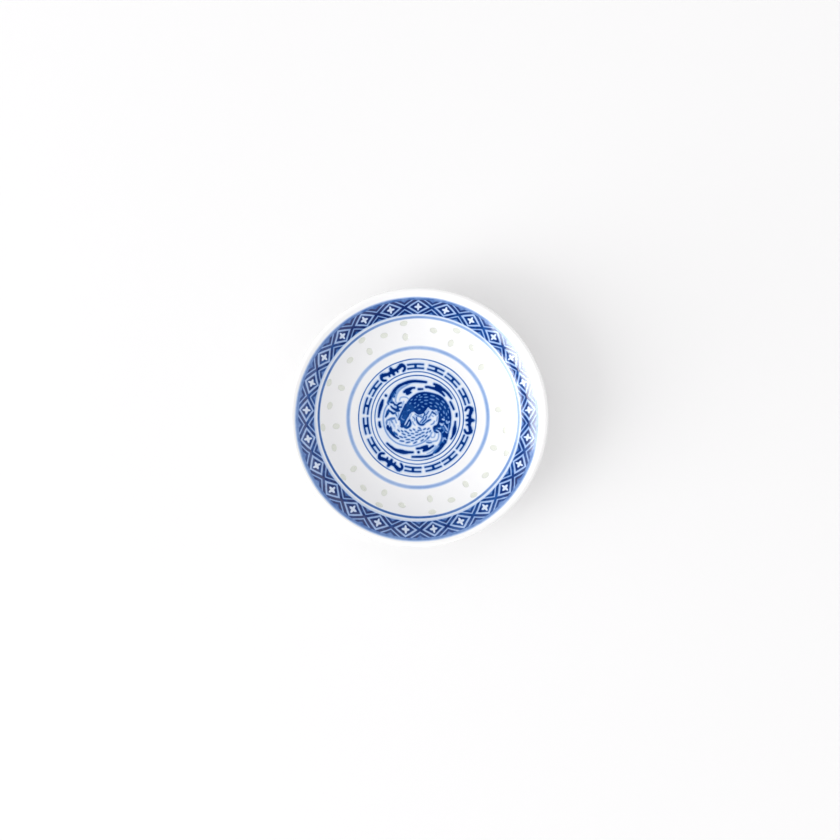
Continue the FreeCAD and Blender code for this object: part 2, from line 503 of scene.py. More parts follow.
def smooth_path(points, closed=False, step=0.12):
    """A curve through the points, sampled every step millimetres or so."""
    places = np.array(points, float)
    count = len(places)
    spans = count if closed else count - 1
    path = []
    for span in range(spans):
        before, start, end, after = (
            places[(span + offset) % count if closed else min(max(span + offset, 0), count - 1)]
            for offset in (-1, 0, 1, 2)
        )
        pieces = max(2, math.ceil(np.linalg.norm((end - start)[:2]) / step))
        t = (np.arange(pieces) / pieces)[:, None]
        path.append(
            0.5
            * (
                2 * start
                + (end - before) * t
                + (2 * before - 5 * start + 4 * end - after) * t**2
                + (3 * start - before - 3 * end + after) * t**3
            )
        )
    if not closed:
        path.append(places[-1:])
    return np.concatenate(path)


class Brushwork:
    """Cobalt laid on the floor of the dish, as a strength from 0 to 1 at each point.

    Places are in millimetres from the dish's axis. Later strokes cover earlier ones.
    """

    EDGE = 0.34  # how soft a stroke's edge is
    BLEED = 0.95  # how far a pale halo runs out into the glaze
    BLEED_SHARE = 0.34  # the halo's strength, as a share of the stroke's
    RING_STEP = 6  # degrees from one point of a ring to the next

    def __init__(self, places):
        self.places = places
        self.strength = np.zeros(len(places))

    def near(self, low, high):
        """The points inside a box, with room for the strokes' edges."""
        room = self.BLEED
        inside = (self.places > low - room) & (self.places < high + room)
        return np.flatnonzero(inside.all(axis=1))

    def lay(self, chosen, outside, strength):
        """Cover the chosen points by how far each lies outside the stroke's outline."""
        cover = np.clip(0.5 - outside / self.EDGE, 0, 1)
        cover = cover * cover * (3 - 2 * cover)
        self.strength[chosen] += (strength - self.strength[chosen]) * cover
        bleed = np.clip(1 - outside / self.BLEED, 0, 1) ** 2 * self.BLEED_SHARE * strength
        np.maximum.at(self.strength, chosen, bleed)

    def stroke(self, points, strength=1.0):
        """A brush stroke through points of (x, y, width)."""
        path = smooth_path(points)
        half = path[:, 2] / 2
        reach = half.max()
        chosen = self.near(path[:, :2].min(0) - reach, path[:, :2].max(0) + reach)
        outside = np.full(len(chosen), np.inf)
        for (x, y, _), radius in zip(path, half):
            gap = np.hypot(self.places[chosen, 0] - x, self.places[chosen, 1] - y) - radius
            np.minimum(outside, gap, out=outside)
        self.lay(chosen, outside, strength)

    def patch(self, points, strength=1.0):
        """A filled shape with a smooth outline through the points."""
        outline = smooth_path([(x, y) for x, y in points], closed=True)
        chosen = self.near(outline.min(0), outline.max(0))
        x, y = self.places[chosen].T
        gap = np.full(len(chosen), np.inf)
        crossings = np.zeros(len(chosen), int)
        for (ax, ay), (bx, by) in zip(outline, np.roll(outline, -1, axis=0)):
            np.minimum(gap, np.hypot(x - ax, y - ay), out=gap)
            if ay != by:
                over = (ay > y) != (by > y)
                crossings += over & (x < (bx - ax) * (y - ay) / (by - ay) + ax)
        inside = crossings % 2 == 1
        self.lay(chosen, np.where(inside, -gap, gap), strength)

    def film(self, radius, strength):
        """An even film of thin cobalt about the dish's axis, out to a radius."""
        outside = np.hypot(*self.places.T) - radius
        self.lay(np.arange(len(self.places)), outside, strength)

    def ring(self, radius, width, strength, first=0, last=360):
        """A ring, or a part of one, about the dish's axis."""
        steps = max(3, round((last - first) / self.RING_STEP))
        angles = np.radians(np.linspace(first, last, steps + 1))
        points = [(radius * math.cos(a), radius * math.sin(a), width) for a in angles]
        self.stroke(points, strength)


def turned(points, radius, angle):
    """Points of (along the ring, outward, width) about a place on a ring, as (x, y, width)."""
    cos, sin = math.cos(math.radians(angle)), math.sin(math.radians(angle))
    return [
        ((radius + out) * cos - round_ * sin, (radius + out) * sin + round_ * cos, width)
        for round_, out, width in points
    ]


# The bat's wing, toe and body, as (along the ring, outward, width)
BAT_RADIUS = 20.9
BAT_ANGLES = (118.5, -2.6, 238.5)
BAT_WING = [
    (0, -0.1, 1.5), (1.8, -0.35, 1.15), (3.2, 0.0, 1.4), (4.4, 0.15, 1.45), (5.1, -0.7, 1.1),
    (4.8, -1.6, 1.0), (3.9, -2.1, 0.8),
]
BAT_TOE = [(1.75, -0.3, 0.8), (1.8, -1.3, 0.7)]
BAT_BODY = [(0, 1.3, 0.9), (0.1, 0, 1.6), (0, -1.5, 1.0)]

H_BAR_RADII = (19.6, 21.15)
H_ANGLES = (92.1, 68.9, 47.1, 24.5, -29.1, -51.4, -72.2, -95.0, 212.0, 189.0, 166.7, 145.3)
H_BAR_LENGTH = 6.1
H_BAR_WIDTH = 0.66
H_BAR_STRENGTH = 0.92
H_CROSS = [(0, -0.5, 1.15), (0, 0, 0.95), (0, 0.5, 1.15)]
H_CROSS_STRENGTH = 0.95


def paint_bat(paint, angle):
    """A small bat with curled wings, its head to the rim."""
    for side in (1, -1):
        for points in (BAT_WING, BAT_TOE):
            mirrored = [(x * side, y, width) for x, y, width in points]
            paint.stroke(turned(mirrored, BAT_RADIUS, angle))
    paint.stroke(turned(BAT_BODY, BAT_RADIUS, angle))


def paint_h_mark(paint, angle):
    """Two short bars along the ring, joined by one across."""
    for radius in H_BAR_RADII:
        half = math.degrees(H_BAR_LENGTH / 2 / radius)
        paint.ring(radius, H_BAR_WIDTH, H_BAR_STRENGTH, angle - half, angle + half)
    cross = turned(H_CROSS, sum(H_BAR_RADII) / 2, angle)
    paint.stroke(cross, H_CROSS_STRENGTH)


def paint_figures(paint):
    """The band of bats and H marks round the roundel."""
    for angle in H_ANGLES:
        paint_h_mark(paint, angle)
    for angle in BAT_ANGLES:
        paint_bat(paint, angle)


# The roundel's strokes, in millimetres from the dish's axis. A list is laid from its first stroke to
# its last, and a stroke is (strength, [(x, y, width), ...]) where nothing else is said.

# Outline of the dark body: x, y
DARK_BODY = [
    (-3.7, 6.7), (-3.0, 7.6), (-1.0, 9.2), (0.5, 9.9), (3.0, 10.25), (6.0, 9.8), (8.7, 8.9),
    (10.3, 7.7), (11.6, 6.1), (12.6, 4.2), (13.2, 2.0), (13.4, 0.0), (13.3, -1.5), (13.1, -3.0),
    (12.7, -4.7), (12.3, -6.0), (12.0, -7.5), (11.4, -9.5), (10.4, -11.0), (9.3, -12.4),
    (8.2, -13.4), (7.0, -14.0), (5.8, -14.0), (7.0, -12.6), (8.1, -11.3), (8.8, -10.0),
    (9.5, -8.6), (9.7, -7.0), (9.2, -6.0), (8.2, -5.9), (7.2, -5.9), (6.4, -5.3), (6.1, -3.8),
    (6.6, -3.1), (7.7, -2.5), (8.2, -0.5), (8.3, 1.0), (8.0, 2.4), (7.5, 3.3), (6.4, 3.0),
    (5.2, 3.4), (4.2, 4.1), (3.3, 2.8), (2.4, 1.8), (0.3, 1.3), (-1.4, 2.4), (-2.6, 1.9),
    (-3.4, 0.6), (-2.8, -0.6), (-2.4, -2.2), (-2.8, -3.5), (-4.2, -4.3), (-5.5, -3.8),
    (-6.2, -3.9), (-6.6, -3.2), (-6.7, -2.2), (-6.9, -1.1), (-7.6, -0.6), (-6.9, 1.0),
    (-6.0, 2.6), (-5.5, 3.6), (-4.8, 5.0), (-4.2, 6.0),
]

# Thinner and thicker cobalt over it
DARK_BODY_TONES = [
    # the head's side, in thinner cobalt
    (0.85, [(-3.2, 6.0, 0.8), (-3.9, 4.6, 1.4), (-4.4, 3.2, 1.8), (-5.0, 1.6, 2.6),
            (-5.6, 0.0, 2.6), (-5.4, -1.8, 2.0), (-4.6, -3.2, 1.0)]),
    (0.87, [(-2.6, 4.6, 1.6), (-1.8, 3.4, 1.2), (-3.0, 2.6, 1.0)]),
    (0.95, [(-7.3, -0.6, 0.5), (-6.5, 1.4, 0.5), (-5.6, 3.3, 0.6), (-4.6, 5.2, 0.7)]),
    (0.96, [(-6.4, -3.3, 0.7), (-5.7, -2.5, 0.9), (-5.2, -1.8, 0.4)]),
    (0.93, [(-5.6, 0.9, 0.6), (-5.1, 1.9, 0.9), (-4.2, 1.5, 0.7)]),
    (0.93, [(-4.9, 3.0, 0.5), (-4.4, 4.0, 0.8), (-3.6, 4.2, 0.6)]),
    (0.58, [(-6.4, 0.0, 0.4), (-5.8, -0.6, 0.6), (-5.2, -0.8, 0.4)]),
    (0.62, [(-6.0, 1.0, 0.4), (-6.3, 0.4, 0.4)]),
    (0.60, [(-3.8, 2.8, 0.5), (-3.1, 3.2, 0.5)]),
    (0.20, [(-3.5, 0.2, 0.5), (-4.2, -1.3, 0.65), (-4.9, -2.6, 0.5)]),
    (0.30, [(-2.4, 1.4, 0.5), (-3.0, 0.2, 0.5), (-3.5, -0.6, 0.3)]),
    (0.28, [(-3.2, -1.6, 0.35), (-3.6, -2.6, 0.5), (-4.0, -3.2, 0.35)]),
    (0.95, [(-4.9, -3.8, 0.6), (-4.2, -3.9, 0.8), (-3.4, -3.4, 0.6)]),
    (0.90, [(-2.9, -3.1, 0.7), (-2.6, -2.0, 0.7), (-3.0, -0.9, 0.5)]),
    # where the tail's feathers cross it
    (0.70, [(9.3, -3.5, 0.9), (10.6, -4.2, 1.3), (11.8, -4.4, 1.0), (12.3, -4.0, 0.5)]),
    (0.74, [(8.0, -3.9, 0.8), (7.2, -4.6, 0.9), (6.8, -5.2, 0.6)]),
    (0.25, [(9.9, -0.5, 0.7), (10.4, -0.7, 0.8)]),
    (0.38, [(11.4, -1.2, 0.7), (11.8, -1.9, 0.9), (12.5, -1.5, 0.8)]),
    (0.46, [(8.9, -2.2, 0.7), (9.6, -2.6, 1.1), (10.3, -2.2, 0.6)]),
    (0.20, [(9.2, -2.5, 0.5), (9.7, -2.7, 0.7)]),
    (0.28, [(10.6, -2.9, 0.5), (11.3, -3.9, 0.55), (11.9, -5.0, 0.5)]),
    (0.40, [(8.3, -4.1, 0.5), (9.0, -4.1, 0.7)]),
    (0.30, [(11.2, -5.4, 0.5), (11.5, -5.8, 0.4)]),
    (0.55, [(12.3, -2.6, 0.5), (12.2, -4.4, 0.5), (11.9, -5.9, 0.4)]),
    (0.62, [(10.2, -3.7, 0.6), (10.5, -5.0, 0.7), (9.6, -5.9, 0.5)]),
    (0.32, [(7.6, -4.9, 0.6), (8.3, -5.3, 0.7)]),
    (0.08, [(8.7, -5.8, 0.6), (9.1, -6.6, 0.7), (9.3, -7.8, 0.65), (8.9, -9.3, 0.55)]),
    (0.56, [(9.8, -8.0, 1.0), (10.9, -8.0, 0.9)]),
    (0.70, [(10.4, -8.9, 1.1), (9.0, -10.8, 1.0), (7.8, -12.3, 1.0), (6.6, -13.4, 0.8)]),
    (0.34, [(9.8, -9.0, 0.5), (10.5, -8.1, 0.55), (11.4, -8.6, 0.4)]),
    (0.93, [(10.7, -8.9, 0.7), (11.0, -9.6, 0.8), (10.4, -10.0, 0.6)]),
    (0.95, [(10.0, -10.0, 0.7), (9.3, -10.7, 0.9), (8.9, -11.7, 0.9), (8.2, -12.7, 0.9),
            (7.3, -13.5, 0.6)]),
]

# Scale dashes on the dark body: x, y, length and slope
DARK_SCALES = [
    (3.0, 9.2, 1.2, 3), (6.0, 8.7, 1.5, -12), (7.9, 7.5, 1.3, -33), (10.1, 6.3, 1.2, -42),
    (10.8, 4.1, 1.0, -62), (12.1, 2.5, 0.9, -80), (12.2, 0.2, 0.6, -85), (0.8, 8.9, 0.6, 25),
    (1.4, 8.2, 0.9, 16), (3.4, 8.1, 1.4, 5), (5.8, 7.3, 1.6, -12), (7.8, 5.6, 1.3, -35),
    (9.5, 5.4, 1.1, -50), (9.0, 3.8, 1.0, -60), (10.4, 2.2, 1.0, -72), (11.4, 1.5, 1.0, -84),
    (10.5, 0.1, 0.6, -85), (3.4, 6.9, 1.3, 2), (0.9, 7.1, 0.8, 18), (5.2, 5.9, 1.0, -20),
    (7.2, 4.5, 1.0, -40), (1.7, 6.2, 0.9, 10), (3.3, 5.5, 0.9, 0), (5.3, 4.6, 0.6, -15),
    (2.1, 4.4, 0.9, -25), (-0.8, 7.2, 0.8, 28), (-2.3, 7.1, 0.7, 35), (-1.0, 5.8, 0.7, 35),
    (-2.8, 5.7, 0.6, 45), (0.3, 5.0, 0.8, 50), (-0.9, 4.2, 0.7, 35), (0.7, 3.3, 0.7, 15),
    (12.5, 4.0, 0.4, -70), (8.4, 2.4, 0.4, -60), (9.4, 1.2, 0.6, -80), (-0.2, 8.3, 0.5, 25),
]

# The muzzle, forelock and horns in the middle, and the tail's curl
MIDDLE_CURLS = [
    # washes under the curls
    (0.26, [(3.6, 2.2, 1.6), (3.0, 0.4, 2.0), (1.6, -1.4, 1.8), (0.4, -1.8, 1.0)]),
    (0.22, [(5.2, 2.2, 1.6), (4.6, 0.6, 1.4), (4.6, -0.8, 1.0)]),
    (0.20, [(-0.2, 1.0, 0.8), (-1.2, 0.8, 0.9), (-1.8, -0.4, 0.7)]),
    (0.05, [(0.4, -0.2, 0.5), (0.9, -0.7, 0.9), (0.8, -1.2, 0.4)]),
    # the muzzle's ring and its fringe
    (0.92, [(-0.4, 0.3, 0.4), (-0.3, -0.8, 0.6), (0.2, -1.9, 0.8), (1.0, -2.6, 0.8),
            (2.0, -2.7, 0.8), (2.8, -2.3, 0.6)]),
    (0.78, [(3.5, 0.6, 0.5), (3.3, -0.5, 0.6), (2.6, -1.3, 0.6), (1.9, -2.0, 0.5)]),
    (0.80, [(5.1, -0.7, 0.6), (4.2, -1.1, 0.8), (3.4, -1.7, 0.6), (2.8, -2.1, 0.4)]),
    (0.72, [(2.3, 0.6, 0.5), (2.3, -0.3, 0.5), (1.6, -1.1, 0.5), (1.1, -1.7, 0.4)]),
    (0.70, [(1.4, 1.0, 0.4), (1.5, 0.3, 0.45), (1.9, 0.0, 0.4)]),
    (0.62, [(0.0, 0.6, 0.4), (0.7, 0.6, 0.5), (1.4, 0.2, 0.4)]),
    (0.60, [(-0.9, 1.5, 0.35), (-0.2, 1.0, 0.45), (0.6, 1.0, 0.4)]),
    (0.66, [(-1.8, 0.4, 0.4), (-1.2, -0.2, 0.5), (-1.0, -1.0, 0.4)]),
    (0.45, [(-1.9, -1.4, 0.4), (-1.5, -2.3, 0.4), (-0.9, -2.9, 0.4)]),
    # forelock and horns
    (0.30, [(4.4, 3.5, 0.8), (3.8, 2.9, 0.9), (3.2, 2.2, 0.5)]),
    (0.84, [(2.7, 1.9, 0.5), (2.9, 1.2, 0.6), (2.6, 0.9, 0.4)]),
    (0.70, [(4.4, 2.6, 0.4), (3.9, 1.8, 0.55), (3.4, 1.2, 0.4)]),
    (0.12, [(5.4, 2.9, 0.5), (4.9, 1.9, 0.7), (4.3, 1.0, 0.6)]),
    (0.66, [(5.8, 2.6, 0.4), (5.4, 1.7, 0.5), (4.9, 0.9, 0.5), (4.4, 0.2, 0.4)]),
    (0.92, [(5.9, 2.4, 0.5), (6.3, 2.0, 0.7), (6.9, 1.7, 0.6)]),
    (0.85, [(6.9, 1.6, 0.4), (7.3, 1.2, 0.5)]),
    (0.40, [(7.2, 2.6, 0.5), (7.6, 2.0, 0.6), (7.9, 1.3, 0.4)]),
    (0.55, [(5.7, 0.9, 0.4), (6.2, 0.6, 0.4)]),
    (0.42, [(7.8, 0.4, 0.5), (7.7, -0.6, 0.5), (7.5, -1.2, 0.4)]),
    (0.60, [(6.7, -1.4, 0.5), (6.2, -2.2, 0.5), (5.4, -2.6, 0.4)]),
    # the curl of the tail
    (0.36, [(6.8, -5.8, 0.5), (6.9, -6.8, 0.5), (6.4, -7.6, 0.5), (5.5, -7.7, 0.4)]),
    (0.40, [(5.4, -5.9, 0.4), (5.2, -6.6, 0.4), (5.4, -7.4, 0.4)]),
    (0.42, [(8.4, -6.2, 0.45), (8.3, -7.2, 0.5), (8.1, -8.1, 0.5), (7.6, -8.9, 0.55),
            (6.4, -9.2, 0.55), (5.2, -9.6, 0.6)]),
    (0.66, [(5.4, -9.7, 0.5), (4.4, -9.7, 0.7), (3.6, -9.5, 0.5)]),
    (0.36, [(3.8, -9.3, 0.4), (4.4, -8.9, 0.5), (5.3, -9.0, 0.4)]),
    (0.68, [(9.4, -6.2, 0.5), (9.6, -7.4, 0.6), (9.3, -8.8, 0.6), (8.8, -10.0, 0.6),
            (8.2, -10.9, 0.5)]),
    (0.42, [(8.3, -11.0, 0.6), (7.2, -12.0, 0.6), (6.0, -12.8, 0.5)]),
    (0.36, [(7.3, -11.0, 0.5), (6.4, -12.4, 0.5), (5.0, -13.5, 0.5), (3.8, -14.0, 0.4)]),
]

# One stroke: x, y, width
PALE_BODY_EDGE = [
    (-11.9, 5.0, 0.5), (-12.7, 3.5, 0.55), (-13.2, 1.8, 0.5), (-13.4, 0.0, 0.5),
    (-13.2, -2.5, 0.55), (-12.5, -5.0, 0.55), (-11.3, -7.1, 0.55), (-10.0, -8.5, 0.5),
    (-8.2, -9.8, 0.5), (-6.0, -10.6, 0.5), (-3.0, -11.1, 0.5), (-1.0, -10.8, 0.5),
    (1.0, -10.1, 0.5), (2.6, -9.3, 0.55), (3.6, -8.5, 0.6), (4.5, -7.7, 0.55), (5.2, -6.7, 0.5),
    (5.7, -5.6, 0.4),
]

# Dashes on the pale body, from its edge inward: x, y, length and slope
PALE_SCALES = [
    (-6.1, -9.1, 1.5, -8), (-3.7, -9.6, 1.4, 12), (-0.9, -9.7, 1.3, 30), (1.9, -8.8, 1.1, 36),
    (-6.4, -7.5, 1.4, -22), (-3.7, -8.5, 1.5, 0), (-0.2, -8.4, 1.3, 20), (2.2, -7.1, 1.2, 30),
    (-7.4, -5.0, 0.9, -45), (-5.4, -6.4, 1.3, -25), (-3.2, -6.9, 1.0, -6), (-1.7, -7.7, 1.2, 0),
    (-0.2, -6.8, 1.1, 20), (3.4, -7.2, 1.0, 38), (4.2, -7.8, 1.0, 42), (-4.5, -5.4, 1.1, -30),
    (-1.9, -6.2, 1.0, -5), (-0.3, -5.6, 0.9, 0), (2.1, -5.8, 1.1, 18), (3.8, -5.7, 0.9, 38),
    (-2.7, -4.9, 0.8, -30), (-1.3, -4.6, 0.8, -35), (0.8, -4.0, 0.8, -18), (1.2, -4.8, 0.8, 0),
    (2.8, -4.4, 0.9, 25), (4.3, -4.3, 0.9, 35), (5.0, -5.2, 0.7, 60), (-8.3, -6.2, 0.8, -42),
    (-7.6, -7.9, 0.9, -34), (-4.8, -7.6, 0.8, -8), (-2.0, -8.9, 0.9, 4), (0.9, -7.7, 0.8, 24),
    (-6.0, -5.2, 0.8, -40), (0.4, -5.0, 0.4, 0), (1.0, -6.4, 0.7, 15), (-3.6, -6.0, 0.6, -20),
]

# The pale creature's tail, wing, tufts and claw
FEATHERS = [
    # the long tail over the top left, thin cobalt first
    (0.62, [(-4.0, 13.4, 0.7), (-6.0, 12.6, 1.3), (-7.6, 11.6, 1.7), (-8.8, 10.2, 1.7),
            (-9.5, 8.8, 1.6), (-10.0, 7.4, 1.6), (-10.7, 6.3, 1.2)]),
    (0.38, [(-4.6, 13.0, 0.5), (-6.2, 12.2, 0.5), (-7.6, 10.9, 0.6), (-8.3, 9.4, 0.5),
            (-8.8, 8.2, 0.4)]),
    (1.0, [(3.4, 14.05, 0.85), (2.0, 14.2, 0.95), (0.0, 14.4, 1.05), (-1.5, 14.4, 1.1),
           (-3.0, 14.2, 1.25), (-4.5, 13.8, 1.1), (-6.0, 13.2, 1.0), (-7.2, 12.6, 1.1),
           (-8.2, 11.8, 1.0), (-9.0, 10.9, 1.1), (-9.7, 9.9, 1.0), (-10.3, 8.9, 0.9),
           (-10.7, 7.9, 1.0), (-11.1, 7.0, 0.9)]),
    (0.80, [(-11.2, 7.1, 0.6), (-11.6, 6.0, 0.7), (-11.4, 5.4, 0.7)]),
    (0.90, [(-9.4, 10.0, 0.9), (-10.0, 9.0, 1.1), (-9.9, 8.4, 0.5)]),
    (0.06, [(-9.5, 7.6, 0.6), (-9.3, 6.9, 0.8)]),
    (0.92, [(-8.8, 9.9, 0.35), (-8.6, 9.7, 0.45)]),
    (0.80, [(-9.1, 8.5, 0.4), (-9.0, 8.3, 0.45)]),
    (0.42, [(-3.0, 13.4, 0.45), (-4.5, 12.6, 0.5), (-6.0, 11.7, 0.5), (-7.0, 10.9, 0.5),
            (-7.8, 9.8, 0.5), (-8.2, 8.8, 0.5), (-8.5, 7.6, 0.5), (-8.6, 6.6, 0.5),
            (-8.2, 5.8, 0.4)]),
    # curl between the tail and the dark body
    (0.36, [(-7.0, 7.0, 0.5), (-6.6, 7.9, 0.5), (-5.4, 8.2, 0.55), (-4.2, 8.0, 0.5),
            (-3.4, 7.3, 0.4)]),
    (0.34, [(-5.4, 6.4, 0.6), (-5.9, 5.2, 0.6), (-6.3, 4.0, 0.4)]),
    # wing
    (0.93, [(-10.2, 6.0, 0.7), (-9.7, 6.0, 0.9), (-9.2, 5.6, 0.6)]),
    (0.97, [(-8.9, 5.2, 0.8), (-8.0, 5.0, 0.7), (-7.2, 5.6, 0.8), (-6.4, 5.9, 0.7)]),
    (0.97, [(-10.4, 4.6, 0.5), (-9.8, 3.9, 0.8), (-9.0, 3.4, 0.9), (-8.2, 3.0, 1.3),
            (-7.2, 2.8, 0.8)]),
    (0.97, [(-7.9, 4.6, 0.6), (-7.7, 3.8, 1.0), (-7.8, 3.0, 0.9)]),
    (0.93, [(-7.6, 4.3, 0.7), (-7.0, 4.2, 0.7), (-6.4, 4.2, 0.7)]),
    (0.34, [(-8.9, 4.3, 0.4), (-8.4, 4.1, 0.6)]),
    (0.30, [(-6.8, 3.6, 0.5), (-6.5, 3.3, 0.4)]),
    (0.30, [(-9.5, 2.9, 0.35), (-8.8, 2.5, 0.45)]),
    (0.95, [(-11.3, 3.2, 0.5), (-11.6, 2.3, 1.2), (-12.0, 1.3, 0.9), (-12.5, 0.4, 0.6)]),
    (0.72, [(-11.5, 2.6, 0.5), (-11.6, 2.0, 0.4)]),
    (0.95, [(-11.0, 2.8, 0.6), (-10.3, 2.3, 0.8), (-9.6, 1.8, 0.95), (-8.9, 1.9, 0.7)]),
    (0.68, [(-8.6, 2.2, 0.5), (-8.4, 1.4, 0.6), (-8.1, 0.7, 0.5)]),
    (0.45, [(-7.5, 2.0, 0.4), (-7.4, 1.0, 0.5), (-7.9, 0.1, 0.4)]),
    # tufts
    (0.15, [(-9.8, -1.8, 1.0), (-9.2, -3.0, 1.2), (-8.8, -4.2, 0.8)]),
    (0.14, [(-7.6, -3.2, 0.9), (-7.1, -4.2, 0.9)]),
    (0.66, [(-11.4, -0.8, 0.7), (-10.3, -0.4, 1.05), (-9.1, -0.2, 0.85)]),
    (0.56, [(-10.4, -0.9, 0.7), (-9.8, -1.9, 0.6)]),
    (0.58, [(-11.9, -0.9, 0.6), (-12.1, -1.7, 0.85), (-12.2, -2.6, 0.5)]),
    (0.36, [(-11.0, -1.6, 0.5), (-10.8, -2.8, 0.7)]),
    (0.42, [(-8.7, -0.8, 0.6), (-8.3, -1.9, 0.6)]),
    (0.40, [(-9.4, -2.4, 0.4), (-9.0, -3.4, 0.4)]),
    # claw at the left
    (0.97, [(-11.7, -3.2, 0.9), (-11.5, -4.0, 1.4), (-10.8, -4.8, 1.4), (-10.3, -5.6, 1.3),
            (-9.6, -6.4, 1.2), (-8.7, -7.4, 0.8), (-7.6, -8.1, 0.5)]),
    (0.93, [(-10.5, -3.5, 0.5), (-10.3, -4.4, 0.7)]),
    (0.74, [(-9.2, -5.5, 0.5), (-8.6, -6.2, 0.7), (-7.9, -6.8, 0.5)]),
]

# Wisps round both bodies, all at full strength: x, y, width
CLOUDS = [
    [(3.4, 12.15, 0.9), (4.5, 12.1, 0.95), (5.5, 11.8, 1.0), (6.8, 11.5, 1.2), (8.2, 10.9, 1.3),
     (9.0, 10.3, 1.1), (9.8, 9.6, 0.95), (10.6, 8.7, 0.7)],
    [(6.6, 13.3, 0.85), (7.5, 12.9, 1.1), (8.5, 12.3, 1.4), (9.5, 11.5, 1.4), (10.5, 10.9, 1.1),
     (11.5, 10.1, 1.0), (12.3, 9.2, 0.95), (13.4, 7.7, 0.7)],
    [(7.2, 12.1, 0.9), (8.2, 11.8, 1.3), (9.2, 11.0, 1.2)],
    [(12.9, 6.3, 0.7), (13.6, 5.0, 0.85), (14.3, 3.4, 0.7)],
    [(15.4, 1.6, 0.8), (15.4, 0.7, 0.85)],
    [(0.4, 11.3, 0.75), (1.2, 11.3, 0.8), (2.0, 11.35, 0.7)],
    [(-5.2, 10.2, 0.9), (-4.2, 10.7, 1.5), (-3.1, 11.2, 1.4), (-2.2, 11.7, 0.9),
     (-1.2, 11.8, 0.7)],
    [(-4.0, 10.4, 1.1), (-4.0, 9.5, 1.1), (-3.2, 9.9, 1.1), (-2.7, 10.0, 0.8)],
    [(-13.6, 6.9, 0.8), (-13.9, 6.0, 1.15), (-14.2, 5.0, 1.4), (-14.5, 4.0, 1.3),
     (-15.0, 2.0, 0.95), (-15.2, 0.4, 0.75)],
    [(-12.4, 8.8, 0.9), (-12.35, 8.7, 0.95)],
    [(-14.95, -1.7, 0.8), (-14.85, -2.8, 1.05), (-14.6, -3.5, 0.95)],
    [(-11.9, -10.0, 0.7), (-10.3, -11.4, 0.9), (-8.5, -12.6, 1.1), (-6.4, -13.2, 1.6),
     (-5.0, -13.5, 1.45), (-3.2, -13.5, 0.95), (-1.8, -13.5, 0.8)],
    [(-0.2, -12.05, 0.8), (1.2, -11.85, 0.9), (2.4, -11.5, 1.1), (3.7, -11.1, 1.0)],
    [(2.4, -12.9, 0.8), (3.2, -12.5, 1.2), (4.2, -12.2, 1.0), (5.0, -11.8, 0.9),
     (6.2, -11.0, 0.8)],
    [(2.4, -11.9, 0.9), (3.4, -11.9, 1.1), (4.0, -11.8, 0.8)],
    [(0.35, -13.45, 0.95), (0.45, -13.45, 1.0)],
    [(-2.0, -15.3, 0.75), (1.3, -15.25, 0.85), (4.0, -15.0, 0.8), (5.8, -14.4, 0.8)],
    [(14.9, -1.5, 0.7), (14.8, -2.6, 0.85), (14.6, -4.4, 1.5), (14.3, -5.9, 1.3),
     (13.9, -7.0, 0.8), (13.2, -8.2, 0.55)],
]

PALE_EDGE_STRENGTH = 0.5
PALE_SCALE_STRENGTH = 0.78
DARK_BODY_STRENGTH = 0.96
DARK_SCALE_STRENGTH = 0.54

DASH_TIP = 0.4
DASH_BELLY = 0.58

# Thin films of cobalt under the drawing: radius in millimetres and strength
FILMS = ((23.0, 0.045), (16.6, 0.055))


def paint_group(paint, strokes):
    """Lay a group of strokes in order."""
    for strength, points in strokes:
        paint.stroke(points, strength)


def paint_dashes(paint, dashes, strength):
    """Short plump strokes given as x, y, length and slope."""
    for x, y, long, slope in dashes:
        dx = math.cos(math.radians(slope)) * long / 2
        dy = math.sin(math.radians(slope)) * long / 2
        tips = (x - dx, y - dy, DASH_TIP), (x + dx, y + dy, DASH_TIP)
        paint.stroke([tips[0], (x, y, DASH_BELLY), tips[1]], strength)


def paint_roundel(paint):
    """The pale body, the dark one over it, the curls and feathers about them, and the clouds."""
    paint.stroke(PALE_BODY_EDGE, PALE_EDGE_STRENGTH)
    paint_dashes(paint, PALE_SCALES, PALE_SCALE_STRENGTH)
    paint.patch(DARK_BODY, DARK_BODY_STRENGTH)
    paint_group(paint, DARK_BODY_TONES)
    paint_dashes(paint, DARK_SCALES, DARK_SCALE_STRENGTH)
    paint_group(paint, MIDDLE_CURLS)
    paint_group(paint, FEATHERS)
    for points in CLOUDS:
        paint.stroke(points)


def keep_values(mesh, name, values):
    """Keep one value for each of the mesh's points under a name."""
    attribute = mesh.attributes.new(name, "FLOAT", "POINT")
    attribute.data.foreach_set("value", values.astype(np.float32))


def mesh_spots(mesh):
    """The mesh's points, and how far each stands from the dish's axis."""
    spots = np.empty(len(mesh.vertices) * 3)
    mesh.vertices.foreach_get("co", spots)
    spots = spots.reshape(-1, 3)
    return spots, np.hypot(spots[:, 0], spots[:, 1])


def mark_inside(mesh, body, wall):
    """Mark the points on the dish's inside, which alone carries cobalt."""
    spots, reach = mesh_spots(mesh)
    height = spots[:, 2]
    from_bowl = np.hypot(reach - wall.bowl_centre.x, height - wall.bowl_centre.z)
    from_flare = np.hypot(reach - wall.flare_centre.x, height - wall.flare_centre.z)
    near = 0.03 * MM
    joint = wall.bowl(wall.steepest, INSIDE).x
    on_bowl = (reach > wall.floor_edge.x) & (reach < joint + near)
    on_bowl &= abs(from_bowl - wall.bowl_radius) < near
    on_flare = (reach > joint - near) & (abs(from_flare - wall.flare_radius) < near)
    on_floor = (reach < body.floor_radius + near) & (abs(height - body.floor_top) < near)
    keep_values(mesh, "inside", on_bowl | on_flare | on_floor)


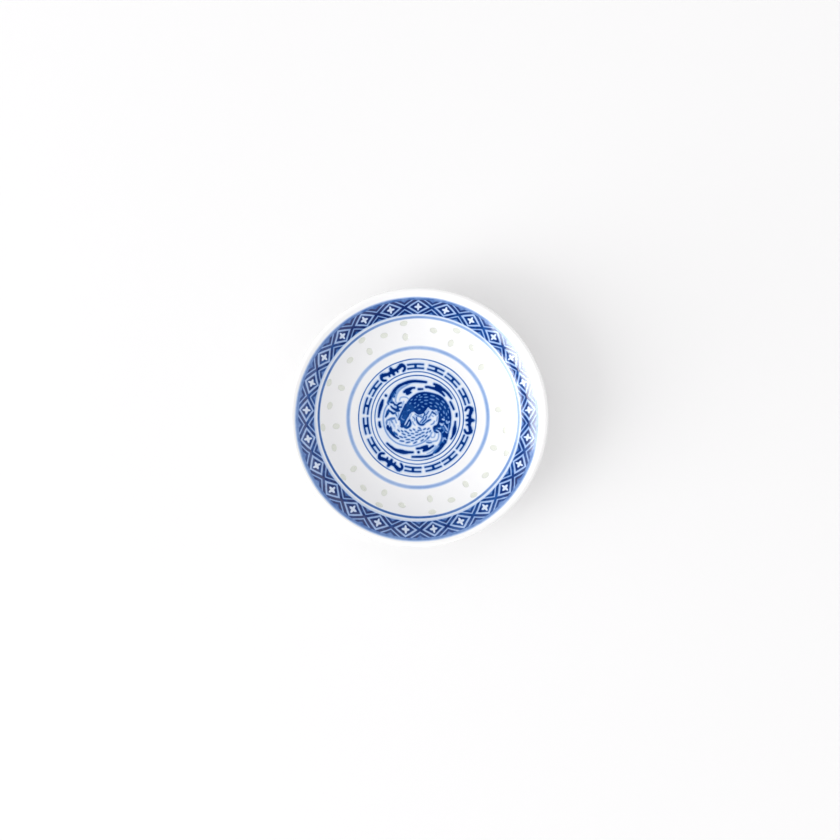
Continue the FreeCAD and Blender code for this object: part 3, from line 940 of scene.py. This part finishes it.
def paint_floor(mesh, body):
    """Lay the brushwork on the floor and keep it as the mesh's cobalt attribute."""
    spots, reach = mesh_spots(mesh)
    past_floor = 2 * MM
    below_floor = 0.1 * MM
    on_floor = (reach < body.floor_radius + past_floor) & (
        spots[:, 2] > body.floor_top - below_floor
    )
    chosen = np.flatnonzero(on_floor)
    paint = Brushwork(spots[chosen, :2] / MM)
    for radius, strength in FILMS:
        paint.film(radius, strength)
    paint_figures(paint)
    paint_roundel(paint)
    cobalt = np.zeros(len(mesh.vertices))
    cobalt[chosen] = paint.strength
    keep_values(mesh, "cobalt", cobalt)


# ---------------------------------------------------------------- nodes


# Scales of the noises over the dish, coarse to fine, and over the table
GLOSS_SCALE = 60.0
POOL_SCALE = 90.0
WANDER_SCALE = 120.0
SPECK_SCALE = 140.0
RIPPLE_SCALE = 260.0
BLOTCH_SCALE = 420.0
GRAIN_SCALE = 900.0
TABLE_SCALE = 3.0

SPECK_CHANCE = (0.985, 0.99)  # a cell holds a speck if its random number is over these
SPECK_SIZE = (0.05, 0.02)  # a speck's soft edge, from outside in, in cells
GLAZE_ROUGHNESS = (0.06, 0.06)  # of the glossiest glaze, and how much more the dullest has


class Signal:
    """A node's output, which can be added, multiplied and so on as a number can."""

    def __init__(self, nodes, socket):
        self.nodes = nodes
        self.socket = socket

    def __add__(self, other):
        return self.nodes.math("ADD", self, other)

    def __sub__(self, other):
        return self.nodes.math("SUBTRACT", self, other)

    def __rsub__(self, other):
        return self.nodes.math("SUBTRACT", other, self)

    def __mul__(self, other):
        return self.nodes.math("MULTIPLY", self, other)

    def __truediv__(self, other):
        return self.nodes.math("DIVIDE", self, other)

    def __abs__(self):
        return self.nodes.math("ABSOLUTE", self)

    __radd__ = __add__
    __rmul__ = __mul__


class Nodes:
    """Short ways to add nodes to one tree. Inputs and outputs go by name or by count."""

    def __init__(self, tree):
        self.tree = tree

    def feed(self, node, inputs):
        """Link a node's inputs to signals, or set them to fixed values."""
        for name, value in dict(inputs).items():
            if isinstance(value, Signal):
                self.tree.links.new(value.socket, node.inputs[name])
            else:
                node.inputs[name].default_value = value

    def add(self, kind, inputs=(), **settings):
        """Add a node, change its settings and feed it."""
        node = self.tree.nodes.new(kind)
        for name, value in settings.items():
            setattr(node, name, value)
        self.feed(node, inputs)
        return node

    def get(self, output, kind, inputs=(), **settings):
        """Add a node in the same way and return one of its outputs."""
        return Signal(self, self.add(kind, inputs, **settings).outputs[output])

    def outputs(self, node):
        """All of a node's outputs by name."""
        return {socket.name: Signal(self, socket) for socket in node.outputs}

    def math(self, operation, *values, clamp=False):
        """Work out one value from others."""
        return self.get(
            0, "ShaderNodeMath", enumerate(values), operation=operation, use_clamp=clamp
        )

    def mix(self, factor, first, second):
        """Blend two colours."""
        inputs = {"Factor": factor, 6: first, 7: second}
        return self.get(2, "ShaderNodeMix", inputs, data_type="RGBA")

    def blend(self, factor, first, second):
        """Blend two values."""
        return first + (second - first) * factor

    def step(self, value, low, high):
        """0 up to low and 1 from high, smooth between; the two may come the other way round."""
        inputs = {"Value": value, "From Min": low, "From Max": high}
        return self.get("Result", "ShaderNodeMapRange", inputs, interpolation_type="SMOOTHSTEP")

    def noise(self, place, scale, detail=2.0, roughness=0.5):
        """Cloudy values about 0.5."""
        inputs = {"Vector": place, "Scale": scale, "Detail": detail, "Roughness": roughness}
        return self.get("Fac", "ShaderNodeTexNoise", inputs)

    def ramp(self, value, stops):
        """Look a value up in a ramp with stops of (position, colour)."""
        node = self.add("ShaderNodeValToRGB", {"Fac": value})
        elements = node.color_ramp.elements
        while len(elements) < len(stops):
            elements.new(0.5)
        for element, (position, tone) in zip(elements, stops):
            element.position = position
            element.color = (*tone, 1)
        return Signal(self, node.outputs["Color"])

    def table(self, value, rows, highest=1):
        """Look a value up in rows of (position, value), with none above the highest."""
        stops = [(position, [result / highest] * 3) for position, result in rows]
        return self.ramp(value, stops) * highest

    def parts(self, place):
        """A place's X, Y and Z."""
        return self.outputs(self.add("ShaderNodeSeparateXYZ", {0: place})).values()

    def group(self, name, **inputs):
        """Use a shared group, which is built the first time, and return its outputs."""
        tree = bpy.data.node_groups.get(name) or build_group(name, *NODE_GROUPS[name])
        return self.outputs(self.add("ShaderNodeGroup", inputs, node_tree=tree))


def build_group(name, inputs, wire):
    """A node group whose outputs are the values that wire returns by name."""
    tree = bpy.data.node_groups.new(name, "ShaderNodeTree")
    for label in inputs:
        kind = "NodeSocketVector" if label == "Place" else "NodeSocketFloat"
        tree.interface.new_socket(label, in_out="INPUT", socket_type=kind)
    nodes = Nodes(tree)
    results = wire(nodes, nodes.outputs(nodes.add("NodeGroupInput")))
    for label in results:
        tree.interface.new_socket(label, in_out="OUTPUT", socket_type="NodeSocketFloat")
    nodes.add("NodeGroupOutput", results)
    return tree


def wire_polar(nodes, given):
    """Where a point lies about the dish's axis: radius in metres and angle in turns."""
    x, y, _ = nodes.parts(given["Place"])
    return {
        "Radius": nodes.math("SQRT", x * x + y * y),
        "Turn": nodes.math("ARCTAN2", y, x) / math.tau,
    }


def wire_band(nodes, given):
    """A soft-edged band of a width about a middle value."""
    gap = abs(given["Value"] - given["Middle"]) - given["Width"] / 2
    half = given["Soft"] / 2
    return {"Mask": nodes.step(gap, half, half * -1)}


def wire_fired_glaze(nodes, given):
    """Ripple, pooling, rare dark specks and uneven gloss of a fired glaze."""
    place = given["Place"]
    cell_inputs = {"Vector": place, "Scale": SPECK_SCALE}
    cells = nodes.outputs(nodes.add("ShaderNodeTexVoronoi", cell_inputs, feature="F1"))
    chance_inputs = {"Vector": cells["Position"]}
    chance = nodes.get(
        "Value", "ShaderNodeTexWhiteNoise", chance_inputs, noise_dimensions="3D"
    )
    glossiest, dulling = GLAZE_ROUGHNESS
    return {
        "Height": nodes.noise(place, RIPPLE_SCALE, roughness=0.45),
        "Pooling": nodes.noise(place, POOL_SCALE, detail=3.0, roughness=0.55),
        "Speck": nodes.step(chance, *SPECK_CHANCE) * nodes.step(cells["Distance"], *SPECK_SIZE),
        "Roughness": nodes.noise(place, GLOSS_SCALE) * dulling + glossiest,
    }


# Cobalt across the border's nested lines: dark lozenge, pale line, dark X, pale V, dark V, wash
BORDER_LINES = (
    (0.00, 1.00), (0.66, 1.00), (0.76, 0.32), (0.94, 0.32), (1.03, 0.96), (1.33, 0.96),
    (1.41, 0.40), (1.52, 0.40), (1.60, 0.96), (1.84, 0.96), (1.94, 0.64), (2.00, 0.64),
)
LAST_LINE = 2.0
LINE_SLANT = 0.42  # in tiles along the border, for half of its width

# How much ink the border's four transfer strips left, by the part of a turn from +X
STRIP_INK = (
    (0.000, 0.96), (0.118, 0.94), (0.126, 0.88), (0.300, 1.10), (0.360, 1.10), (0.368, 0.94),
    (0.500, 0.90), (0.598, 0.96), (0.606, 1.04), (0.720, 1.00), (0.800, 0.90), (0.878, 0.88),
    (0.884, 0.96), (1.000, 0.96),
)
MOST_INK = 2.0

# The star in a lozenge is two crossed ovals: half sizes along the border and across it
STAR_OVALS = ((0.135, 0.18), (0.045, 0.52))
STAR_EDGE = (1.45, 0.70)
STAR_STRENGTH = 0.10
PRINT_WOBBLE = 0.10  # of the pattern along the border, in lozenges


def wire_border(nodes, given):
    """Star lozenges in a chain, with chevrons between them.

    Across runs from 0 at the border's inner edge to 1 at its outer edge.
    """
    paint = bpy.context.scene.dish_paint
    first = 0.5 - paint.border_start / math.tau * paint.lozenges
    tile = given["Turn"] * paint.lozenges + first + given["Wobble"] * PRINT_WOBBLE
    u = abs(nodes.math("FRACT", tile) - 0.5)  # 0 in a lozenge's middle, 0.5 between two
    v = abs(given["Across"] - 0.5) * 2
    # the nested lines all follow one slant: it grows from a lozenge's middle to the X between two
    slant = u / LINE_SLANT + v
    lines = [(at / LAST_LINE, cobalt) for at, cobalt in BORDER_LINES]
    pattern = nodes.table(slant / LAST_LINE, lines)
    ovals = []
    for half_along, half_across in STAR_OVALS:
        near, far = u / half_along, v / half_across
        ovals.append(near * near + far * far)
    star = nodes.step(nodes.math("MINIMUM", *ovals), *STAR_EDGE)
    return {
        "Cobalt": nodes.blend(star, pattern, STAR_STRENGTH),
        "Ink": nodes.table(nodes.math("FRACT", given["Turn"]), STRIP_INK, MOST_INK),
    }


NODE_GROUPS = {
    "Place About Axis": (("Place",), wire_polar),
    "Soft Band": (("Value", "Middle", "Width", "Soft"), wire_band),
    "Fired Glaze": (("Place",), wire_fired_glaze),
    "Lozenge Border": (("Turn", "Across", "Wobble"), wire_border),
}


# ---------------------------------------------------------------- materials


def new_material(name, view_colour):
    """A node material's nodes, its shader and the place on the piece."""
    material = bpy.data.materials.new(name)
    material.use_nodes = True
    material.diffuse_color = (*view_colour, 1)
    nodes = Nodes(material.node_tree)
    place = nodes.get("Object", "ShaderNodeTexCoord")
    return material, nodes, material.node_tree.nodes["Principled BSDF"], place


def ripple(nodes, glaze, strength):
    """The normal of a glaze's slightly uneven surface."""
    inputs = {"Strength": strength, "Distance": RIPPLE_HEIGHT, "Height": glaze["Height"]}
    return nodes.get("Normal", "ShaderNodeBump", inputs)


EDGE_WANDER = 0.25 * MM  # how far the rings' edges wander
BROAD_SOFT = 0.95 * MM  # width of a ring's soft edges
LINE_SOFT = 0.45 * MM
THIN_SOFT = 0.36 * MM

# Cobalt strength where the glaze is thinnest, and how much more where it pooled
BROAD_TONE = (0.27, 0.22)
LINE_TONE = (0.42, 0.30)
THIN_TONE = (0.38, 0.60)
LINE_GLARE_AND_SHADE = (0.14, 0.12)  # painted light: the line is painted paler towards the upper right, where the key's glare falls on the wall, and darker at the lower left, where the wall is in the key's shade

# Fades over the border's width, from 0 at its inner edge to 1 at its outer edge
INNER_FADE = (-0.05, 0.03)
OUTER_FADE = (1.12, 0.96)
PLAIN_FADE = (0.86, 0.90)
WASH_FADE = (0.04, -0.02)
PATTERN_WIDTH = 0.88  # share of the border under the pattern, inside its plain outer band
PLAIN_STRENGTH = 0.62
WASH_STRENGTH = 0.13
INNER_OFF_SHARE = 0.2  # how much of the outer edge's shift the inner edge has
BLOTCH = (0.7, 0.6)  # least ink, and how much more there is in the blotches
BRUSH_GRAIN = 0.22  # unevenness of all the cobalt
DARKEST_FADE = (0.7, 1.05)  # the border's strengths over which the darkest colour comes in
DARKEST_SHARE = 0.5
SPECK_SHARE = 0.5

BARE_FOOT = (0.75 * MM, 0.45 * MM)  # the glaze ends between these heights
BARE_ROUGHNESS = 0.75
GATHERED_GLAZE = (42.4 * MM, 45.6 * MM)  # it thickens towards the lip between these radii
RIPPLE_HEIGHT = 0.02 * MM
DISH_RIPPLE = 0.25
GRAIN_RIPPLE = 0.3
GRAIN_SHADE = 0.94
TABLE_SHADE = 0.985


class Painting:
    """The cobalt rings and the border of the painted porcelain, as strengths from 0 to 1."""

    def __init__(self, nodes, place, glaze):
        self.nodes = nodes
        self.place = place
        self.pooling = glaze["Pooling"]
        self.sizes = bpy.context.scene.dish_paint
        self.x, self.y, self.z = nodes.parts(place)
        self.axis = nodes.group("Place About Axis", Place=place)
        self.wander = nodes.noise(place, WANDER_SCALE) - 0.5
        self.radius = self.axis["Radius"] + self.wander * EDGE_WANDER

    def shift_out(self, off_x, off_y):
        """How far a shift of (off_x, off_y) moves a ring outward at each place."""
        return (self.x * off_x + self.y * off_y) / self.axis["Radius"]

    def ring(self, radius, middle, width, soft):
        """1 on a ring and 0 off it."""
        band = self.nodes.group("Soft Band", Value=radius, Middle=middle, Width=width, Soft=soft)
        return band["Mask"]

    def tone(self, thinnest, pooled):
        """Cobalt that is stronger where the glaze pooled."""
        return self.pooling * pooled + thinnest

    def banded_rings(self):
        """The broad pale ring and the line ring, which share a centre a little off the axis."""
        sizes = self.sizes
        radius = self.radius - self.shift_out(sizes.banding_off_x, sizes.banding_off_y)
        broad = self.ring(radius, sizes.broad_ring, sizes.broad_width, BROAD_SOFT)
        line = self.ring(radius, sizes.line_ring, sizes.line_width, LINE_SOFT)
        # Painted glare and shade: the line ring's cobalt is weakened towards the upper right and
        # strengthened towards the lower left, following how the key lights the wall
        line_tone_with_painted_light = self.tone(*LINE_TONE) - self.shift_out(*LINE_GLARE_AND_SHADE)
        return broad * self.tone(*BROAD_TONE), line * line_tone_with_painted_light

    def thin_rings(self):
        """The thin rings round the roundel and the band of figures."""
        sizes = self.sizes
        thin = 0.0
        for middle in (sizes.roundel_inner, sizes.roundel_outer, sizes.figure_ring):
            ring = self.ring(self.radius, middle, sizes.thin_width, THIN_SOFT)
            thin = self.nodes.math("MAXIMUM", thin, ring)
        return thin * self.tone(*THIN_TONE)

    def border(self):
        """The printed border, with a thin wash from it in to the line ring."""
        nodes = self.nodes
        sizes = self.sizes
        off = self.shift_out(sizes.border_off_x, sizes.border_off_y)
        inner = off * INNER_OFF_SHARE + sizes.border_inner
        outer = off + sizes.border_outer
        across = (self.radius - inner) / (outer - inner)
        printed = nodes.group(
            "Lozenge Border", Turn=self.axis["Turn"], Wobble=self.wander,
            Across=across / PATTERN_WIDTH,
        )
        pattern = nodes.blend(nodes.step(across, *PLAIN_FADE), printed["Cobalt"], PLAIN_STRENGTH)
        within = nodes.step(across, *INNER_FADE) * nodes.step(across, *OUTER_FADE)
        least_ink, blotches = BLOTCH
        ink = printed["Ink"] * (nodes.noise(self.place, BLOTCH_SCALE) * blotches + least_ink)
        wash = nodes.step(across, *WASH_FADE) * nodes.step(self.radius, sizes.line_ring, inner)
        return nodes.math("MAXIMUM", pattern * within * ink, wash * WASH_STRENGTH)


def painted_porcelain():
    """White glazed porcelain with its cobalt painting and a bare foot."""
    colours = bpy.context.scene.dish_colours
    material, nodes, shader, place = new_material("painted_porcelain", colours.glaze)
    glaze = nodes.group("Fired Glaze", Place=place)
    painting = Painting(nodes, place, glaze)
    border = painting.border()
    strength = nodes.get("Fac", "ShaderNodeAttribute", attribute_name="cobalt")
    for layer in (*painting.banded_rings(), painting.thin_rings(), border):
        strength = nodes.math("MAXIMUM", strength, layer)
    brush_grain = nodes.noise(place, GRAIN_SCALE) - 0.5
    strength = strength * ((painting.wander + brush_grain) * BRUSH_GRAIN + 1.0)
    inside = nodes.get("Fac", "ShaderNodeAttribute", attribute_name="inside")
    strength = nodes.math("MULTIPLY", strength, inside, clamp=True)
    surface = nodes.ramp(strength, [
        (0.0, colours.glaze), (0.15, colours.wash), (0.42, colours.pale),
        (0.72, colours.mid), (1.0, colours.deep),
    ])
    thickest = nodes.step(border, *DARKEST_FADE) * DARKEST_SHARE * inside
    surface = nodes.mix(thickest, surface, (*colours.darkest, 1))
    surface = nodes.mix(glaze["Speck"] * SPECK_SHARE, surface, (*colours.speck, 1))
    bare = nodes.step(painting.z, *BARE_FOOT)
    nodes.feed(shader, {
        "Base Color": nodes.mix(bare, surface, (*colours.biscuit, 1)),
        "Roughness": nodes.blend(bare, glaze["Roughness"], BARE_ROUGHNESS),
        "Normal": ripple(nodes, glaze, DISH_RIPPLE),
        "Coat Weight": nodes.step(painting.axis["Radius"], *GATHERED_GLAZE),
        "Coat Roughness": 0.18,
        "IOR": 1.5,
        "Specular IOR Level": 0.32,
    })
    return material


def grain_glaze():
    """Clear glaze with a green cast, cloudy in its depth."""
    grain = bpy.context.scene.dish_colours.grain
    material, nodes, shader, place = new_material("grain_glaze", grain)
    glaze = nodes.group("Fired Glaze", Place=place)
    nodes.feed(shader, {
        "Base Color": nodes.mix(glaze["Pooling"], (*(grain * GRAIN_SHADE), 1), (*grain, 1)),
        "Roughness": glaze["Roughness"],
        "Normal": ripple(nodes, glaze, GRAIN_RIPPLE),
        "Transmission Weight": 0.12,
        "IOR": 1.5,
    })
    return material


def table_top():
    """The pale floor."""
    table = bpy.context.scene.dish_colours.table
    material, nodes, shader, place = new_material("table_top", table)
    nodes.feed(shader, {
        "Base Color": nodes.mix(
            nodes.noise(place, TABLE_SCALE), (*(table * TABLE_SHADE), 1), (*table, 1)
        ),
        "Roughness": 0.9,
        "Specular IOR Level": 0.1,
    })
    return material


# ---------------------------------------------------------------- operators


class DISH_OT_make_body(bpy.types.Operator):
    """Spin the porcelain body, pierce its grain holes and paint it"""

    bl_idname = "dish.make_body"
    bl_label = "Make Porcelain Body"

    def execute(self, context):
        body = context.scene.dish_body
        grains = context.scene.dish_grains
        wall = Wall(body)
        bm = bmesh.new()
        spin_section(bm, body_section(body, wall), body.steps_round)
        refine_painted_floor(bm, body)
        piece = finish_mesh("porcelain_dish", bm, painted_porcelain())
        places = [place for row in grain_places(grains, wall) for place in row]
        holes = grain_plugs(grains, places, hole_rings(body, grains))
        pierce(piece, finish_mesh("grain_cutter", holes, piece.data.materials[0]))
        check_closed(piece.data)
        shade_smooth(piece.data)
        mark_inside(piece.data, body, wall)
        paint_floor(piece.data, body)
        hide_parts("porcelain_body")
        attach(piece, "root")
        return {"FINISHED"}


class DISH_OT_make_grains(bpy.types.Operator):
    """Fill the three rows of grain holes with windows of glaze"""

    bl_idname = "dish.make_grains"
    bl_label = "Make Grain Windows"

    def execute(self, context):
        body = context.scene.dish_body
        grains = context.scene.dish_grains
        material = grain_glaze()
        rows = zip(("inner", "middle", "outer"), grain_places(grains, Wall(body)))
        for row, places in rows:
            bm = grain_plugs(grains, places, window_rings(body, grains))
            piece = finish_mesh("grain_glaze_" + row, bm, material, SHARP_FROM_WINDOWS)
            check_closed(piece.data)
            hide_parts("grain_windows_" + row)
            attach(piece, "root")
        return {"FINISHED"}


class DISH_OT_make_stage(bpy.types.Operator):
    """Lay the pale floor and set the camera and the lights"""

    bl_idname = "dish.make_stage"
    bl_label = "Make Stage"

    def execute(self, context):
        stage = context.scene.dish_stage
        make_floor()
        make_camera(stage)
        make_light(stage)
        return {"FINISHED"}


FLOOR_HALF = 4.0
KEY_DISTANCE = 2.6
KEY_SIZE = (1.41, 1.95)
KEY_COLOUR = (0.995, 1.0, 0.99)
SHEEN_DISTANCE = 1.6
SHEEN_SIZE = (2.16, 1.29)
ROOM_COLOUR = (1.0, 0.992, 1.0, 1)

# Strength of the room's light by where it comes from
HORIZON = (0.25, 1.3)  # all round, and how much more opposite the window
WALLS = (0.55, 0.65)  # above the horizon, and how much more towards the ceiling
WALLS_FROM = (0.05, 0.35)  # the horizon's light gives way to the walls' between these heights
WINDOW_FOCUS = 10.0
CAMERA_SPOT = (0.985, 0.93)  # heights of the dim spot overhead
CAMERA_SPOT_LIGHT = 0.03


def make_floor():
    """A wide flat floor under the dish."""
    bm = bmesh.new()
    bmesh.ops.create_grid(bm, x_segments=1, y_segments=1, size=FLOOR_HALF)
    floor = finish_mesh("floor", bm, table_top())


def make_camera(stage):
    """Look down on the dish, with the view leaned a little to the left."""
    data = bpy.data.cameras.new("camera")
    data.lens = stage.lens
    data.sensor_width = stage.sensor
    data.clip_start = 10 * MM
    camera = bpy.data.objects.new("camera", data)
    bpy.context.scene.collection.objects.link(camera)
    aim = Vector((stage.aim_x, stage.aim_y, CAD_HIGH.z))
    back = Vector((-math.tan(stage.lean_left), -math.tan(stage.lean_near), 1))
    camera.location = aim + back * stage.rim_distance
    right = Vector((0, 1, 0)).cross(back).normalized()
    away = back.normalized()
    turned_to = Matrix((right, away.cross(right), away)).transposed()
    camera.rotation_euler = turned_to.to_euler()
    bpy.context.scene.camera = camera


def soft_box(name, shape, azimuth, elevation, distance, size, power):
    """A broad light that faces the dish."""
    data = bpy.data.lights.new(name, "AREA")
    data.shape = shape
    data.size, data.size_y = size
    data.energy = power
    light = bpy.data.objects.new(name, data)
    bpy.context.scene.collection.objects.link(light)
    level = Vector((math.cos(azimuth), math.sin(azimuth), 0))
    back = level * math.cos(elevation) + UP * math.sin(elevation)
    light.location = back * distance
    light.rotation_euler = back.to_track_quat("Z", "Y").to_euler()
    return light


def make_light(stage):
    """A large soft light low at the left, its glare on the glaze, and light all round."""
    scene = bpy.context.scene
    key = soft_box(
        "key", "RECTANGLE", stage.key_azimuth, stage.key_elevation,
        KEY_DISTANCE, KEY_SIZE, stage.key_power,
    )
    key.data.color = KEY_COLOUR
    sheen = soft_box(
        "sheen", "ELLIPSE", stage.sheen_azimuth, stage.sheen_elevation,
        SHEEN_DISTANCE, SHEEN_SIZE, stage.sheen,
    )
    sheen.visible_diffuse = False
    scene.world = studio_room(stage)
    scene.view_settings.view_transform = "Standard"


def studio_room(stage):
    """A pale room, dim overhead where the camera hangs and brighter on the key's side."""
    world = bpy.data.worlds.new("studio")
    world.use_nodes = True
    nodes = Nodes(world.node_tree)
    x, y, z = nodes.parts(nodes.get("Generated", "ShaderNodeTexCoord"))
    toward = x * math.cos(stage.window_azimuth) + y * math.sin(stage.window_azimuth)
    lobe = nodes.math("POWER", nodes.math("MAXIMUM", toward, 0.0), WINDOW_FOCUS)
    away = nodes.math("MAXIMUM", toward * -1, 0.0)
    horizon = away * HORIZON[1] + HORIZON[0]
    walls = z * WALLS[1] + WALLS[0]
    room = nodes.blend(nodes.step(z, *WALLS_FROM), horizon, walls) + lobe * stage.window
    overhead = nodes.blend(nodes.step(z, *CAMERA_SPOT), CAMERA_SPOT_LIGHT, 1.0)
    background = world.node_tree.nodes["Background"]
    nodes.feed(background, {"Color": ROOM_COLOUR, "Strength": room * overhead * stage.sky})
    return world


class VIEW3D_PT_sauce_dish(bpy.types.Panel):
    """Sizes, colours and steps of the sauce dish"""

    bl_label = "Sauce Dish"
    bl_space_type = "VIEW_3D"
    bl_region_type = "UI"
    bl_category = "Sauce Dish"

    def draw(self, context):
        for operator in OPERATORS:
            self.layout.operator(operator.bl_idname)
        for name, group in GROUPS.items():
            box = self.layout.box()
            box.label(text=name.replace("_", " ").title())
            for field in group.__annotations__:
                box.prop(getattr(context.scene, name), field)


OPERATORS = (DISH_OT_make_body, DISH_OT_make_grains, DISH_OT_make_stage)


def register():
    for group in GROUPS.values():
        bpy.utils.register_class(group)
    for name, group in GROUPS.items():
        setattr(bpy.types.Scene, name, PointerProperty(type=group))
    for operator in OPERATORS:
        bpy.utils.register_class(operator)
    bpy.utils.register_class(VIEW3D_PT_sauce_dish)


def unregister():
    bpy.utils.unregister_class(VIEW3D_PT_sauce_dish)
    for operator in reversed(OPERATORS):
        bpy.utils.unregister_class(operator)
    for name in GROUPS:
        delattr(bpy.types.Scene, name)
    for group in reversed(GROUPS.values()):
        bpy.utils.unregister_class(group)


def main():
    register()
    bpy.ops.dish.make_body()
    bpy.ops.dish.make_grains()
    bpy.ops.dish.make_stage()


if __name__ == "__main__":
    main()
